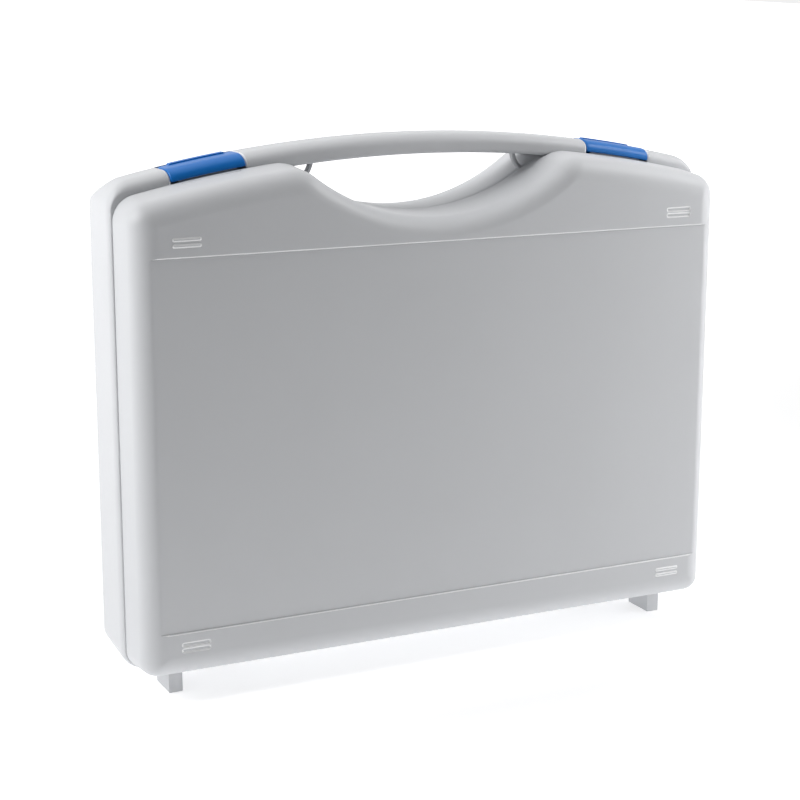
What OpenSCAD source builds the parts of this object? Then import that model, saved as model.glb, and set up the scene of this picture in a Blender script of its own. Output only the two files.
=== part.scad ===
// Carry case: two moulded half shells joined along the bottom edge, a carry
// handle that is one piece with the rear shell, two clip latches, foam inside.
// X runs left to right, Y from the front panel to the back, Z up.
// The origin is on the floor under the middle of the case.

/* [Shells] */
// Width of the rear shell at the seam
shell_w = 370; // [362:1:374]
// Height of the top edge's crown above the floor, without the handle
crown_z = 296.2; // [294:0.1:297]
// Radius of the arched top edge
crown_r = 800; // [760:10:860]
// Lowest point of the hand scoop in the top edge
scoop_z = 260.8; // [260.4:0.1:262]
// Radius of the hand scoop
scoop_r = 124; // [122:1:128]
// How far the seam steps back along the hand scoop
seam_step = 10; // [0:1:10]
// Radius that blends the scoop into the top edge
shoulder_r = 22; // [20:1:26]
// Radius of the front shell's upper corners
corner_r = 17; // [16:1:19]
// Radius of the rear shell's upper corners
rear_corner_r = 12; // [11:0.5:15]
// Underside of the front shell at the seam
bottom_z = 14; // [14:0.1:15]
// Radius of the lower corners
low_corner_r = 12; // [10:1:16]
// Wall thickness of both shells
wall = 2.5; // [2.2:0.1:2.8]
// Depth of the front shell, panel to seam
front_depth = 31; // [30:0.5:32]
// Depth of the rear shell, seam to back
rear_depth = 51; // [50:0.5:54]
// Round-over between the front face and the sides
front_round = 13.8; // [12:0.1:14]
// Round-over between the back face and the sides
rear_round = 11; // [10:0.1:12]

/* [Panel and marks] */
// Lower edge of the recessed panel
panel_z0 = 42; // [40:1:46]
// Upper edge of the recessed panel
panel_z1 = 247; // [243:1:249]
// Depth of the recessed panel
panel_depth = 0.8; // [0.4:0.1:1]
// Length of one stacking mark
mark_l = 15.5; // [12:0.5:18]
// How far the raised marks stand out
mark_h = 0.5; // [0.3:0.1:0.8]

/* [Handle] */
// Top of the handle above the floor
handle_z = 304; // [303:0.1:305]
// Radius of the handle's arch
handle_r = 790; // [780:5:800]
// Thickness of the handle, top to underside
handle_t = 11.3; // [10.5:0.1:12]
// Depth of the handle, front to back
handle_d = 30; // [28:0.5:32]
// Round-over along the handle's top edges
handle_round = 8; // [6:0.5:9]

/* [Latches] */
// Length of one latch along the band
latch_l = 43; // [38:1:44]
// Distance of the latch's middle from the case's middle
latch_x = 129.8; // [128:0.2:131]
// Diameter of the latch pins
latch_pin_d = 3; // [2.5:0.5:3]
// How far the latches are swung open
latch_open = 0; // [0:5:80]

/* [Hinge] */
// Diameter of the hinge pins
hinge_pin_d = 3; // [2.5:0.5:3]
// Height of the hinge axis
hinge_z = 8.5; // [8.5:0.1:8.8]
// Distance of the hinge axis behind the case's middle plane
hinge_y = -1.5; // [-1.6:0.1:-1.3]
// Width of each front foot along the hinge axis
foot_w = 8; // [7:0.5:8]

/* [Foam] */
// Thickness of the die-cut foam
foam_t = 36; // [32:1:36]
// Depth of the wells in it
well_t = 30; // [24:1:31]
// Pitch of the lid foam's ribs
rib_pitch = 24; // [20:1:30]

/* [Hidden] */

y_front = -(front_depth + rear_depth) / 2;
y_back = -y_front;
y_seam = y_front + front_depth;
crown_c = crown_z - crown_r;
scoop_c = scoop_z + scoop_r;
band_c = handle_z - handle_r;
y_band = y_seam + handle_d;
gap = 0.15;                     // half of the seam between the shells
step = 2;                       // the rear shell stands out by this much
grey = [0.80, 0.81, 0.83];
blue = [0.10, 0.36, 0.72];

// ---- outline of a shell, d inside its largest size; the scoop follows with
// less, and leaves out the draft c ------------------------------------------
function arc(cx, cz, r, a0, a1, n) =
    [for (i = [0:n]) let(a = a0 + (a1 - a0) * i / n) [cx + r * cos(a), cz + r * sin(a)]];

function half_outline(w, zb, rb, rt, d, c = 0) = let(
    b = max(rb - d, 2), t = max(rt - d, 2), s = max(shoulder_r - d, 2),
    ra = crown_r - d, rs = scoop_r + 0.79 * (d - c),
    tx = w - d - t, tz = crown_c + sqrt(pow(ra - t, 2) - tx * tx),
    sz = (pow(ra - s, 2) - pow(rs + s, 2) - crown_c * crown_c + scoop_c * scoop_c)
        / (2 * (scoop_c - crown_c)),
    sx = sqrt(pow(rs + s, 2) - pow(sz - scoop_c, 2)),
    a_t = atan2(tz - crown_c, tx), a_s = atan2(sz - crown_c, sx),
    a_j = atan2(scoop_c - sz, -sx), a_c = atan2(sz - scoop_c, sx))
    concat([[0, zb + d]],
        arc(w - d - b, zb + d + b, b, -90, 0, 4),
        arc(tx, tz, t, 0, a_t, 5),
        [for (i = [1:3]) let(a = a_t + (a_s - a_t) * i / 4)
            [ra * cos(a), crown_c + ra * sin(a)]],
        arc(sx, sz, s, a_s, a_j, 4),
        [for (i = [1:5]) let(a = a_c + (-90 - a_c) * i / 5)
            [rs * cos(a), scoop_c + rs * sin(a)]]);

function mirror_loop(h) = concat(h,
    [for (i = [len(h) - 2:-1:1]) [-h[i][0], h[i][1]]]);

function lid_loop(d) = mirror_loop(half_outline(shell_w / 2 - step, bottom_z,
    low_corner_r, corner_r, d));
function tub_loop(d, c = 0) = mirror_loop(half_outline(shell_w / 2, bottom_z - 1,
    low_corner_r + step, rear_corner_r, d, c));
// softer outline for the foam, clear of the shells' inner corners
function foam_loop(d) = mirror_loop(half_outline(shell_w / 2 - step, bottom_z,
    low_corner_r + 8, 40, d));

// a closed solid through rings of points; the ends fan out from point 0
module skin(rings) {
    n = len(rings[0]);
    m = len(rings);
    polyhedron(
        points = [for (r = rings) for (p = r) p],
        faces = concat(
            [for (i = [1:n - 2]) [0, i + 1, i]],
            [for (i = [1:n - 2]) [(m - 1) * n, (m - 1) * n + i, (m - 1) * n + i + 1]],
            [for (k = [0:m - 2]) for (i = [0:n - 1]) let(j = (i + 1) % n)
                [k * n + i, k * n + j, (k + 1) * n + i]],
            [for (k = [0:m - 2]) for (i = [0:n - 1]) let(j = (i + 1) % n)
                [k * n + j, (k + 1) * n + j, (k + 1) * n + i]]),
        convexity = 8);
}
function ramp(a, b, v) = let(t = min(1, max(0, (v - a) / (b - a)))) t * t * (3 - 2 * t);
// how far the point p of the outline at y lies behind the flat seam's course
function stepped(p, y) = seam_step * ramp(80, 66, abs(p[0])) * ramp(232, 250, p[1])
    * min(1, max(0, min((y - y_front - front_round) / (front_depth - front_round - gap),
        (y_back - rear_round - y) / (rear_depth - rear_round - 1.2))));
// the same for outlines stacked along Y, as [y, outline]
module loft(rings, k = 0) {
    skin([for (r = rings) [for (p = r[1]) [p[0], r[0] + k * stepped(p, r[0]), p[1]]]]);
}

// a prism standing on the X-Z plane, from y0 back to y1
module slab(y0, y1) {
    translate([0, y1, 0]) rotate([90, 0, 0]) linear_extrude(y1 - y0) children();
}

// ---- stacking marks: two bars, raised or cut, on the front or the back ---
module bars(y0, y1, zs, grow = 0) {
    for (z = zs) slab(y0, y1) union() {
        translate([-mark_l / 2, z - 0.75 - grow]) square([mark_l, 1.5 + 2 * grow]);
        for (s = [-1, 1]) translate([s * mark_l / 2, z]) circle(0.75 + grow, $fn = 24);
    }
}
mark_x = 152.8;
module marks_raised(y0, y1, s) {
    translate([-s * mark_x, 0, 0]) bars(y0, y1, [253.2, 256.6]);
    translate([s * mark_x, 0, 0]) bars(y0, y1, [31.8, 35.2]);
}
module marks_cut(y0, y1, s) {
    translate([s * mark_x, 0, 0]) bars(y0, y1, [253.6, 257.0], 0.25);
    translate([-s * mark_x, 0, 0]) bars(y0, y1, [32, 35.3], 0.25);
}

// ---- local frame of a latch: u along the band, v out of it ----------------
latch_a = asin(latch_x / handle_r);
latch_z = band_c + handle_r * cos(latch_a);
piv_y = y_seam + 17;
piv_v = -4.1;
barrel_r = 4.4;
// places its children, drawn with X along the band, Y back and Z outward
module on_band(s) {
    translate([s * latch_x, 0, latch_z]) rotate([0, s * latch_a, 0]) children();
}
// a prism along the band, drawn in (y, v)
module along(len) {
    rotate([90, 0, 90]) translate([0, 0, -len / 2]) linear_extrude(len) children();
}

// ---- front shell: lid with panel, marks, feet and catches ------------------
module front_shell() color(grey) {
    d1 = 1.5; yd = y_front + front_round; ri = front_round - wall;
    difference() {
        union() {
            difference() {
                loft(concat(
                    [for (a = [90:-22.5:0]) [yd - front_round * sin(a),
                        lid_loop(d1 + front_round * (1 - cos(a)))]],
                    [[y_seam - gap, lid_loop(0)], [y_seam - gap, lid_loop(wall)]],
                    [for (a = [0:30:90]) [yd - ri * sin(a),
                        lid_loop(d1 + wall + ri * (1 - cos(a)))]]), 1);
                // recessed panel, running out on the rounded sides
                translate([-200, y_front - 5, panel_z0])
                    cube([400, 5 + panel_depth, panel_z1 - panel_z0]);
                marks_cut(y_front - 1, y_front + 0.5, 1);
            }
            marks_raised(y_front - mark_h, y_front + 0.6, 1);
            // feet, each the arm of a hinge
            for (s = [-1, 1]) translate([s * 158 - foot_w / 2, 0, 0]) foot();
            // catches: a tongue behind the seam with a rib across its end
            for (s = [-1, 1]) on_band(s) along(34) catch_profile();
        }
        for (s = [-1, 1]) translate([s * 158 - 6, hinge_y, hinge_z])
            rotate([0, 90, 0]) cylinder(d = hinge_pin_d + 0.1, h = 12, $fn = 48);
    }
}
module foot() {
    rotate([90, 0, 90]) linear_extrude(foot_w) union() {
        translate([y_seam - 9.5, 0]) square([9.3, bottom_z + 1.6]);
        translate([y_seam - 1, 0]) square([hinge_y - y_seam + 1, hinge_z + 2.8]);
        translate([y_seam - 1, 0]) square([hinge_y + 3.9 - y_seam + 1, hinge_z]);
        translate([hinge_y, hinge_z]) circle(3.9, $fn = 48);
    }
}
module catch_profile() {
    translate([y_seam - 4, -9.35]) square([8.2, 1.55]);
    translate([y_seam + 2.2, -9.35]) square([2, 4.45]);
}

// ---- rear shell: tub, band and handle in one moulding ----------------------
// the handle's section, as [distance inside the arch, y]: a crowned top and
// small round-overs along the underside
function band_section() = let(r = handle_round, c = 6, g = 1.6, t = handle_t, yb = y_seam + 2 * gap)
    concat(
        [for (a = [0:30:90]) [c * (1 - cos(a)), y_band - (r + 1) * (1 - sin(a))]],
        [[t - g, y_band], [t, y_band - g]],
        [[t, yb + g], [t - g, yb]],
        [for (a = [90:-30:0]) [c * (1 - cos(a)), yb + (r + 1) * (1 - sin(a))]]);

// stations along the band's outer edge, as [x, z, direction outwards]
function band_path() = let(t = 16, tx = shell_w / 2 - 0.2 - t,
    tz = band_c + sqrt(pow(handle_r - t, 2) - tx * tx),
    a_t = atan2(tz - band_c, tx),
    right = concat(
        [for (i = [0:4]) let(a = 2 + (a_t - 2) * i / 4)
            [tx + t * cos(a), tz + t * sin(a), a]],
        [for (i = [1:8]) let(a = a_t + (90 - a_t) * i / 8)
            [handle_r * cos(a), band_c + handle_r * sin(a), a]]))
    concat(right, [for (i = [len(right) - 2:-1:0])
        [-right[i][0], right[i][1], 180 - right[i][2]]]);

module band() {
    sec = band_section();
    skin([for (q = band_path()) [for (i = [len(sec) - 1:-1:0]) let(p = sec[i])
        [q[0] - p[0] * cos(q[2]), p[1], q[1] - p[0] * sin(q[2])]]]);
}

module rear_shell() color(grey) {
    d1 = 2; yd = y_back - rear_round; ri = rear_round - wall;
    difference() {
        union() {
            difference() {
                loft(concat(
                    [for (a = [90:-30:0]) [yd + ri * sin(a),
                        tub_loop(d1 + wall + ri * (1 - cos(a)), d1)]],
                    [[y_seam + 4.5, lid_loop(wall + 1.7)],
                        [y_seam - 2.2, lid_loop(wall + 1.7)],
                        [y_seam - 2.2, lid_loop(wall + 0.5)],
                        [y_seam + gap, lid_loop(wall + 0.5)],
                        [y_seam + gap, tub_loop(1.2)],
                        [y_seam + 1.2, tub_loop(0)]],
                    [for (a = [0:22.5:90]) [yd + rear_round * sin(a),
                        tub_loop(d1 + rear_round * (1 - cos(a)), d1)]]), 1);
                marks_cut(y_back - 0.5, y_back + 1, -1);
            }
            band();
            marks_raised(y_back - 0.6, y_back + mark_h, -1);
            // strap eyes: a bar across each sharp end of the hand opening
            for (s = [-1, 1]) translate([s * 66.6, (y_seam + y_band) / 2 - 2, 285.3])
                rotate([0, -s * 24, 0]) translate([-1.2, -2.2, -5]) cube([2.4, 4.4, 11.8]);
            // rear feet
            for (s = [-1, 1]) translate([s * 122 - 4, 14, 0]) cube([8, 20, bottom_z + 0.9]);
            // hinge lugs beside the feet
            for (s = [-1, 1]) translate([s * 150.3 - 3.3, 0, 0]) lug();
        }
        // latch pockets
        for (s = [-1, 1]) on_band(s) along(latch_l + 1) pocket_profile();
        for (s = [-1, 1]) on_band(s) translate([-26, piv_y, piv_v]) rotate([0, 90, 0])
            cylinder(d = latch_pin_d, h = 52, $fn = 48);
        for (s = [-1, 1]) translate([s * 150.3 - 6, hinge_y, hinge_z])
            rotate([0, 90, 0]) cylinder(d = hinge_pin_d, h = 12, $fn = 48);
    }
}
module pocket_profile() {
    translate([y_seam - 4, -9.7]) square([27.2, 14]);
}
module lug() {
    rotate([90, 0, 90]) linear_extrude(6.6) union() {
        translate([hinge_y, hinge_z]) circle(3.6, $fn = 48);
        translate([hinge_y - 3.6, hinge_z]) square([7.2, bottom_z + 0.8 - hinge_z]);
    }
}

// ---- clip latch, drawn closed in (y, v) ------------------------------------
module latch_profile() {
    yf = y_seam - 0.4; t = 2.2;
    difference() {
        union() {
            // cover, crowned like the band, and its front wall
            polygon(concat([[yf, -7.2]],
                [for (a = [90:-15:0]) [yf + 9 * (1 - sin(a)), 0.3 - 6 * (1 - cos(a))]],
                [[piv_y, 0.3], [piv_y, 0.3 - t]],
                [for (a = [0:15:90])
                    [yf + t + 6.8 * (1 - sin(a)), 0.3 - t - 3.6 * (1 - cos(a))]],
                [[yf + t, -7.2]]));
            translate([piv_y, piv_v]) circle(barrel_r, $fn = 72);
        }
        translate([piv_y, piv_v]) circle(latch_pin_d / 2 + 0.05, $fn = 48);
    }
}
module latch(s) color(blue) {
    on_band(s) translate([0, piv_y, piv_v]) rotate([-latch_open, 0, 0])
        translate([0, -piv_y, -piv_v]) {
        along(latch_l) latch_profile();
        // thumb ridge
        translate([-16.2, piv_y - 1.5, -0.5]) cube([32.4, 4.4, 1.6]);
    }
}
module latch_left() latch(-1);
module latch_right() latch(1);

module latch_pin(s) color("silver") on_band(s) translate([-24.5, piv_y, piv_v])
    rotate([0, 90, 0]) cylinder(d = latch_pin_d, h = 49, $fn = 48);
module latch_pin_left() latch_pin(-1);
module latch_pin_right() latch_pin(1);

module hinge_pin(s) color("silver") translate([s * 154.2 - 7.3, hinge_y, hinge_z])
    rotate([0, 90, 0]) cylinder(d = hinge_pin_d, h = 14.6, $fn = 48);
module hinge_pin_left() hinge_pin(-1);
module hinge_pin_right() hinge_pin(1);

// ---- foam -------------------------------------------------------------------
module rounded(x0, z0, w, h, r) {
    union() {
        translate([x0 + r, z0]) square([w - 2 * r, h]);
        translate([x0, z0 + r]) square([w, h - 2 * r]);
        for (x = [x0 + r, x0 + w - r]) for (z = [z0 + r, z0 + h - r])
            translate([x, z]) circle(r, $fn = 48);
    }
}
module wells() {
    // handle and head of the instrument
    union() {
        rounded(-160, 192, 172, 42, 20);
        rounded(-12, 176, 62, 70, 18);
    }
    // charger
    rounded(72, 160, 92, 84, 12);
    // tray for speculum tips
    rounded(-160, 100, 106, 62, 10);
    // three tubes
    for (i = [0:2]) rounded(-34 + i * 32, 96, 24, 66, 11.5);
    // spare lamps and battery
    rounded(72, 96, 92, 46, 10);
    // notes and small parts
    rounded(-160, 36, 200, 46, 12);
    rounded(58, 36, 106, 46, 12);
}
module foam_insert() color([0.16, 0.17, 0.18]) difference() {
    slab(y_seam - 1.9, y_seam - 1.9 + foam_t) polygon(foam_loop(6.2));
    slab(y_seam - 3, y_seam - 1.9 + well_t) wells();
}
module foam_base_pad() color([0.16, 0.17, 0.18])
    loft([[y_seam - 1.9 + foam_t + 0.3, foam_loop(6.2)],
        [y_back - rear_round + 2, foam_loop(6.2)],
        [y_back - wall - 0.4, foam_loop(14)]]);
module foam_lid_pad() color([0.16, 0.17, 0.18])
    loft([[y_front + wall + 0.4, foam_loop(17.5)],
        [y_front + 7, foam_loop(9)],
        [y_seam - 2.6, foam_loop(7)]]);

front_shell();
rear_shell();
latch_left();
latch_right();
latch_pin_left();
latch_pin_right();
hinge_pin_left();
hinge_pin_right();
foam_insert();
foam_base_pad();
foam_lid_pad();
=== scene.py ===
import math

import bmesh
import bpy
import numpy as np
from mathutils import Matrix, Vector
from mathutils.geometry import delaunay_2d_cdt


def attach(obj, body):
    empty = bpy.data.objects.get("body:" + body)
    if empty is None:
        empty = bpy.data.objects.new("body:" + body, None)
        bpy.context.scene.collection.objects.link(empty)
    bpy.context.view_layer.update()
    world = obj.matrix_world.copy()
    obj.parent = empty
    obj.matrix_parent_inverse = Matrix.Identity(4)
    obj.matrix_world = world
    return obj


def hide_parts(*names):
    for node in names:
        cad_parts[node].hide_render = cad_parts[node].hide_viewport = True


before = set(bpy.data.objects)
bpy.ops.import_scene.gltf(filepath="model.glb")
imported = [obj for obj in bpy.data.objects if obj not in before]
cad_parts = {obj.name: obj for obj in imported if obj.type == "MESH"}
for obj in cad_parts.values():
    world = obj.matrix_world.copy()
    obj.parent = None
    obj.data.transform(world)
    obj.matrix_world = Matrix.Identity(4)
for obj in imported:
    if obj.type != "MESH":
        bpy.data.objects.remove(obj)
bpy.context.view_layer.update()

MM = 0.001
SC = bpy.context.scene
COL = SC.collection

# ---------------------------------------------------------------- dimensions, mm
Y_FRONT, Y_BACK, Y_SEAM = -41.0, 41.0, -10.0
CROWN_R, CROWN_C = 800.0, 296.2 - 800.0
SCOOP_R, SCOOP_C = 124.0, 260.8 + 124.0
SCOOP_K = 0.79                                    # the scoop follows an inset with this share of it
SH_R = 22.0
SEAM_STEP = 10.0                                  # the seam steps back by this along the scoop
WALL = 2.5
LID = dict(w=183.0, zb=14.0, rb=11.5, rt=14.5)
TUB = dict(w=185.0, zb=13.0, rb=12.5, rt=12.0)
SOFT = dict(w=183.0, zb=14.0, rb=20.0, rt=40.0)
BAND_R, BAND_C, BAND_T = 790.0, 304.0 - 790.0, 11.3
BAND_Y0, BAND_Y1 = -9.92, 20.0
PANEL_Z0, PANEL_Z1, PANEL_D = 42.0, 247.0, 0.8
LATCH_X, LATCH_H = 129.8, 21.5                    # place and half length
LATCH_A = math.asin(LATCH_X / BAND_R)
LATCH_Z = BAND_C + BAND_R * math.cos(LATCH_A)
PIV_Y, PIV_V = 7.0, -4.1
HINGE_Y, HINGE_Z = -1.5, 8.5

# depth of the panel's edge against the distance outside that edge
EDGE = [(-1.2, 0.8), (-0.55, 0.8), (-0.34, 0.76), (-0.2, 0.62), (-0.08, 0.36),
        (0.06, 0.15), (0.26, 0.04), (0.55, 0.0), (1.2, 0.0)]


def panel_depth(z):
    s = max(z - PANEL_Z1, PANEL_Z0 - z)
    return float(np.interp(s, [e[0] for e in EDGE], [e[1] * PANEL_D / 0.8 for e in EDGE]))


EDGE_ZS = sorted([PANEL_Z1 + e[0] for e in EDGE] + [PANEL_Z0 - e[0] for e in EDGE])
SIDE_ZS = sorted([34.5, 37.5, 50, 62, 76, 90, 104, 118, 132, 146, 160, 174, 188, 202, 216, 228, 238,
                  251, 254.5, 257.5] + EDGE_ZS)


# ---------------------------------------------------------------- outlines
def smax(x, k=2.4):
    return 0.5 * (x + math.sqrt(x * x + k * k))


def arc(cx, cz, r, a0, a1, n, skip=0):
    return [(cx + r * math.cos(a0 + (a1 - a0) * i / n), cz + r * math.sin(a0 + (a1 - a0) * i / n))
            for i in range(skip, n + 1)]


def half(o, d, c=0.0):
    """Half of the outline o, inset by d; c of that is draft, which the scoop leaves out."""
    w, zb = o["w"], o["zb"]
    b, t, s = smax(o["rb"] - d), smax(o["rt"] - d), smax(SH_R - d)
    ra, rs = CROWN_R - d, SCOOP_R + SCOOP_K * (d - c)
    tx = w - d - t
    tz = CROWN_C + math.sqrt((ra - t) ** 2 - tx * tx)
    sz = ((ra - s) ** 2 - (rs + s) ** 2 - CROWN_C ** 2 + SCOOP_C ** 2) / (2 * (SCOOP_C - CROWN_C))
    sx = math.sqrt((rs + s) ** 2 - (sz - SCOOP_C) ** 2)
    at, as_ = math.atan2(tz - CROWN_C, tx), math.atan2(sz - CROWN_C, sx)
    aj, ac = math.atan2(SCOOP_C - sz, -sx), math.atan2(sz - SCOOP_C, sx)
    pts = [((w - d - b) * i / 26.0, zb + d) for i in range(26)]
    pts += arc(w - d - b, zb + d + b, b, -math.pi / 2, 0, 14)
    lo, hi, zs = zb + d + b, tz, SIDE_ZS
    if lo > zs[0] - 0.3 or hi < zs[-1] + 0.3:
        zs = [lo + (z - 33.5) / 225.5 * (hi - lo) for z in zs]
    pts += [(w - d, z) for z in zs]
    pts += arc(tx, tz, t, 0, at, 18)
    pts += [(ra * math.cos(at + (as_ - at) * i / 22), CROWN_C + ra * math.sin(at + (as_ - at) * i / 22))
            for i in range(1, 22)]
    pts += arc(sx, sz, s, as_, aj, 22)
    pts += [(rs * math.cos(ac + (-math.pi / 2 - ac) * i / 30), SCOOP_C + rs * math.sin(ac + (-math.pi / 2 - ac) * i / 30))
            for i in range(1, 31)]
    return pts


def loop(o, d, c=0.0):
    h = half(o, d, c)
    return h + [(-x, z) for x, z in h[-2:0:-1]]


def ramp(a, b, v):
    t = min(1.0, max(0.0, (v - a) / (b - a)))
    return t * t * (3 - 2 * t)


def stepped(x, y, z):
    """y, moved back where the seam steps back along the scoop."""
    k = ramp(80, 66, abs(x)) * ramp(232, 250, z)
    return y + SEAM_STEP * k * min(1.0, max(0.0, min((y + 27.2) / 17.05, (30.0 - y) / 38.8)))


# ---------------------------------------------------------------- mesh helpers
class Mesh:
    """Vertices in mm, faces as index lists."""

    def __init__(self):
        self.v, self.f = [], []

    def ring(self, pts):
        s = len(self.v)
        self.v += [tuple(p) for p in pts]
        return list(range(s, s + len(pts)))

    def bridge(self, a, b, flip=False, closed=True):
        n = len(a)
        for i in range(n if closed else n - 1):
            j = (i + 1) % n
            q = [a[i], a[j], b[j], b[i]]
            self.f.append(q[::-1] if flip else q)

    def fan(self, r, flip=False):
        self.f.append(list(r)[::-1] if flip else list(r))

    def cap(self, ring, y_of, loops=(), lines=(), free=(), flip=False):
        """Fills ring, a closed loop of vertices, seen along Y, with loops and lines as edges."""
        pts = [Vector((self.v[i][0], self.v[i][2])) for i in ring]
        n = len(pts)
        edges = [(i, (i + 1) % n) for i in range(n)]
        for lp in loops:
            s = len(pts)
            pts += [Vector(p) for p in lp]
            edges += [(s + i, s + (i + 1) % len(lp)) for i in range(len(lp))]
        for a, b in lines:
            edges.append((a, b))
        pts += [Vector(p) for p in free]
        out, _, faces, orig, _, _ = delaunay_2d_cdt(pts, edges, [], 1, 1e-5)
        ids = []
        for k, p in enumerate(out):
            o = [q for q in orig[k] if q < n]
            if o:
                ids.append(ring[o[0]])
            else:
                ids.append(len(self.v))
                self.v.append((p[0], y_of(p[0], p[1]), p[1]))
        for f in faces:
            q = [ids[i] for i in f]
            a, b, c = (out[f[0]], out[f[1]], out[f[2]])
            ccw = (b[0] - a[0]) * (c[1] - a[1]) - (b[1] - a[1]) * (c[0] - a[0]) > 0
            if ccw == flip:
                q = q[::-1]
            self.f.append(q)

    def obj(self, name, mats=()):
        me = bpy.data.meshes.new(name)
        me.from_pydata([(x * MM, y * MM, z * MM) for x, y, z in self.v], [], self.f)
        me.validate()
        o = bpy.data.objects.new(name, me)
        COL.objects.link(o)
        for m in mats:
            me.materials.append(m)
        return o


def tidy(o, dist=1e-6):
    bm = bmesh.new()
    bm.from_mesh(o.data)
    bmesh.ops.remove_doubles(bm, verts=bm.verts, dist=dist)
    bmesh.ops.dissolve_degenerate(bm, dist=dist * 0.5, edges=bm.edges)
    bmesh.ops.delete(bm, geom=[v for v in bm.verts if not v.link_faces], context="VERTS")
    bmesh.ops.recalc_face_normals(bm, faces=bm.faces)
    bm.to_mesh(o.data)
    bm.free()
    return o


def apply_mods(o):
    dg = bpy.context.evaluated_depsgraph_get()
    me = bpy.data.meshes.new_from_object(o.evaluated_get(dg), depsgraph=dg)
    old = o.data
    o.modifiers.clear()
    o.data = me
    bpy.data.meshes.remove(old)
    return o


def open_edges(o):
    bm = bmesh.new()
    bm.from_mesh(o.data)
    n = sum(1 for e in bm.edges if len(e.link_faces) != 2)
    bm.free()
    return n


def boolean(o, tools, op):
    """o with the closed tools added or cut away; the tools are used up."""
    for t in tools:
        before = len(o.data.polygons)
        m = o.modifiers.new("b", "BOOLEAN")
        m.operation, m.object = op, t
        m.solver = "MANIFOLD"
        bpy.context.view_layer.update()
        keep = o.data.copy()
        apply_mods(o)
        if len(o.data.polygons) < 4 or len(o.data.polygons) == before:
            o.data = keep
            m = o.modifiers.new("b", "BOOLEAN")
            m.operation, m.object, m.solver = op, t, "EXACT"
            bpy.context.view_layer.update()
            apply_mods(o)
            print("exact boolean", o.name, t.name, before, len(o.data.polygons))
        bpy.data.objects.remove(t)
    return o


def finish_mesh(o, angle=32.0, weighted=True):
    me = o.data
    me.polygons.foreach_set("use_smooth", [True] * len(me.polygons))
    me.set_sharp_from_angle(angle=math.radians(angle))
    if weighted:
        m = o.modifiers.new("normals", "WEIGHTED_NORMAL")
        m.keep_sharp = True
        m.weight = 50
        m.mode = "FACE_AREA"
    return o


def prism(name, prof, a0, a1, bevel=0.0, seg=3, place=None, only=None):
    """The outline prof, drawn in (y, z), carried from x = a0 to a1, with rounded edges."""
    bm = bmesh.new()
    A = [bm.verts.new((a0, y, z)) for y, z in prof]
    B = [bm.verts.new((a1, y, z)) for y, z in prof]
    n = len(prof)
    bm.faces.new(A[::-1])
    bm.faces.new(B)
    for i in range(n):
        j = (i + 1) % n
        bm.faces.new((A[i], A[j], B[j], B[i]))
    bmesh.ops.recalc_face_normals(bm, faces=bm.faces)
    if bevel:
        es = [e for e in bm.edges if e.calc_face_angle(0) > math.radians(25)]
        if only:
            es = [e for e in es if only(e)]
        bmesh.ops.bevel(bm, geom=es, offset=bevel, offset_type="OFFSET", segments=seg, profile=0.5,
                        affect="EDGES", clamp_overlap=True)
    bmesh.ops.scale(bm, vec=(MM, MM, MM), verts=bm.verts)
    me = bpy.data.meshes.new(name)
    bm.to_mesh(me)
    bm.free()
    o = bpy.data.objects.new(name, me)
    COL.objects.link(o)
    if place is not None:
        me.transform(place)
    return o


def tube(name, r, x0, x1, y, z, n=48, chamfer=0.0, place=None):
    """A round bar along X."""
    m = Mesh()
    prof = [(x0, r - chamfer), (x0 + chamfer, r), (x1 - chamfer, r), (x1, r - chamfer)] if chamfer else [(x0, r), (x1, r)]
    rings = [m.ring([(x, y + q * math.cos(2 * math.pi * i / n), z + q * math.sin(2 * math.pi * i / n))
                     for i in range(n)]) for x, q in prof]
    for a, b in zip(rings, rings[1:]):
        m.bridge(a, b)
    m.fan(rings[0], True)
    m.fan(rings[-1])
    o = m.obj(name)
    if place is not None:
        o.data.transform(place)
    return tidy(o)


def band_place(s):
    """From a latch's own frame, u along the band, y back, v outwards, to the case's."""
    return (Matrix.Translation((s * LATCH_X * MM, 0, LATCH_Z * MM))
            @ Matrix.Rotation(s * LATCH_A, 4, "Y"))


# ---------------------------------------------------------------- materials
def nodes_of(mat):
    mat.use_nodes = True
    nt = mat.node_tree
    nt.nodes.clear()
    out = nt.nodes.new("ShaderNodeOutputMaterial")
    b = nt.nodes.new("ShaderNodeBsdfPrincipled")
    nt.links.new(b.outputs[0], out.inputs[0])
    return nt, b


def noise(nt, scale, detail=3.0, rough=0.5, stretch=None):
    co = nt.nodes.new("ShaderNodeTexCoord")
    n = nt.nodes.new("ShaderNodeTexNoise")
    n.inputs["Scale"].default_value = scale
    n.inputs["Detail"].default_value = detail
    n.inputs["Roughness"].default_value = rough
    if stretch:
        mp = nt.nodes.new("ShaderNodeMapping")
        mp.inputs["Scale"].default_value = stretch
        nt.links.new(co.outputs["Object"], mp.inputs[0])
        nt.links.new(mp.outputs[0], n.inputs["Vector"])
    else:
        nt.links.new(co.outputs["Object"], n.inputs["Vector"])
    return n


def remap(nt, src, a, b, c, d):
    m = nt.nodes.new("ShaderNodeMapRange")
    for k, v in zip(("From Min", "From Max", "To Min", "To Max"), (a, b, c, d)):
        m.inputs[k].default_value = v
    nt.links.new(src, m.inputs["Value"])
    return m.outputs[0]


def mix_col(nt, fac, a, b):
    m = nt.nodes.new("ShaderNodeMix")
    m.data_type = "RGBA"
    if isinstance(fac, float):
        m.inputs[0].default_value = fac
    else:
        nt.links.new(fac, m.inputs[0])
    for sock, v in ((m.inputs[6], a), (m.inputs[7], b)):
        if isinstance(v, tuple):
            sock.default_value = (*v, 1)
        else:
            nt.links.new(v, sock)
    return m.outputs[2]


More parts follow.
